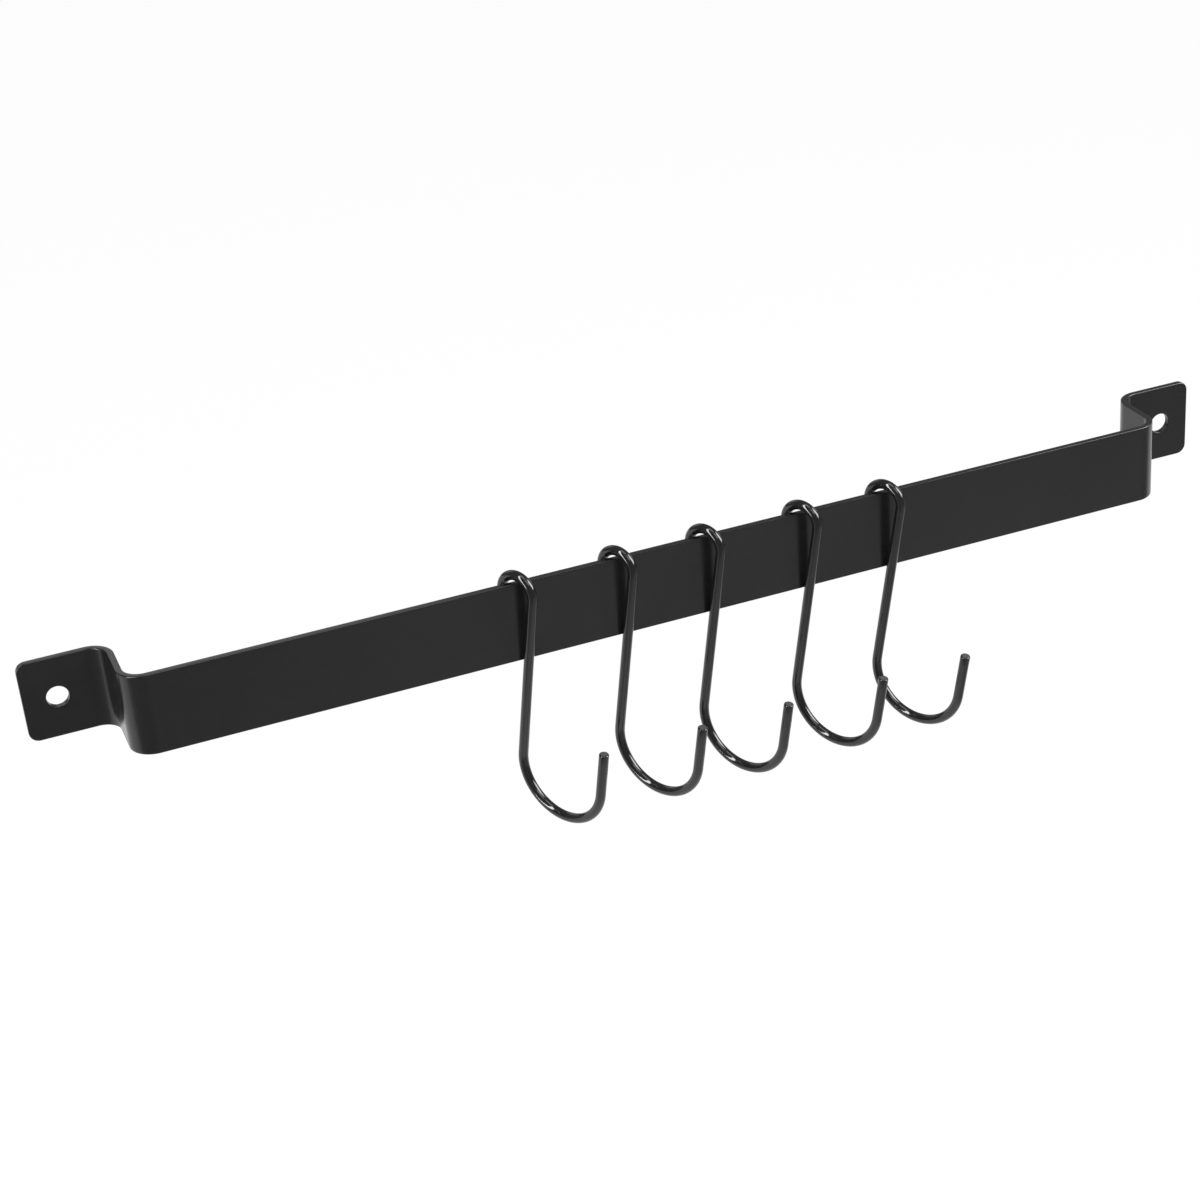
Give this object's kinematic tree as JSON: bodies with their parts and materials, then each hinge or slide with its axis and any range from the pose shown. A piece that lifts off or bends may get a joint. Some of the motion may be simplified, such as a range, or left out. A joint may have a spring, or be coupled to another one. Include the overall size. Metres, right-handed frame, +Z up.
{
  "type": "kitchen utensil rail",
  "caption": "Wall-mounted flat steel bar joggled to a screw tab at each end, with bent-wire J hooks that hang over its top edge and slide along it.",
  "frame": {"origin": "on the wall plane, midway between the two screw holes", "axes": "+X along the rail to the right as seen from the room, +Y into the wall, +Z up"},
  "size_m": [0.38, 0.0518, 0.081],
  "materials": {
    "rail_paint": "satin black powder coat",
    "hook_enamel": "glossy black coating"
  },
  "bodies": {
    "rail": {"rail": "rail_paint"},
    "hook_1": {"hook_1": "hook_enamel"},
    "hook_2": {"hook_2": "hook_enamel"},
    "hook_3": {"hook_3": "hook_enamel"},
    "hook_4": {"hook_4": "hook_enamel"},
    "hook_5": {"hook_5": "hook_enamel"}
  },
  "joints": [
    {"name": "hook_1_slide", "type": "slide", "parent": "rail", "child": "hook_1", "axis": [1, 0, 0], "range_m": [-0.1, 0.013]},
    {"name": "hook_2_slide", "type": "slide", "parent": "rail", "child": "hook_2", "axis": [1, 0, 0], "range_m": [-0.013, 0.0115]},
    {"name": "hook_3_slide", "type": "slide", "parent": "rail", "child": "hook_3", "axis": [1, 0, 0], "range_m": [-0.0115, 0.013]},
    {"name": "hook_4_slide", "type": "slide", "parent": "rail", "child": "hook_4", "axis": [1, 0, 0], "range_m": [-0.013, 0.0115]},
    {"name": "hook_5_slide", "type": "slide", "parent": "rail", "child": "hook_5", "axis": [1, 0, 0], "range_m": [-0.0115, 0.085]}
  ]
}
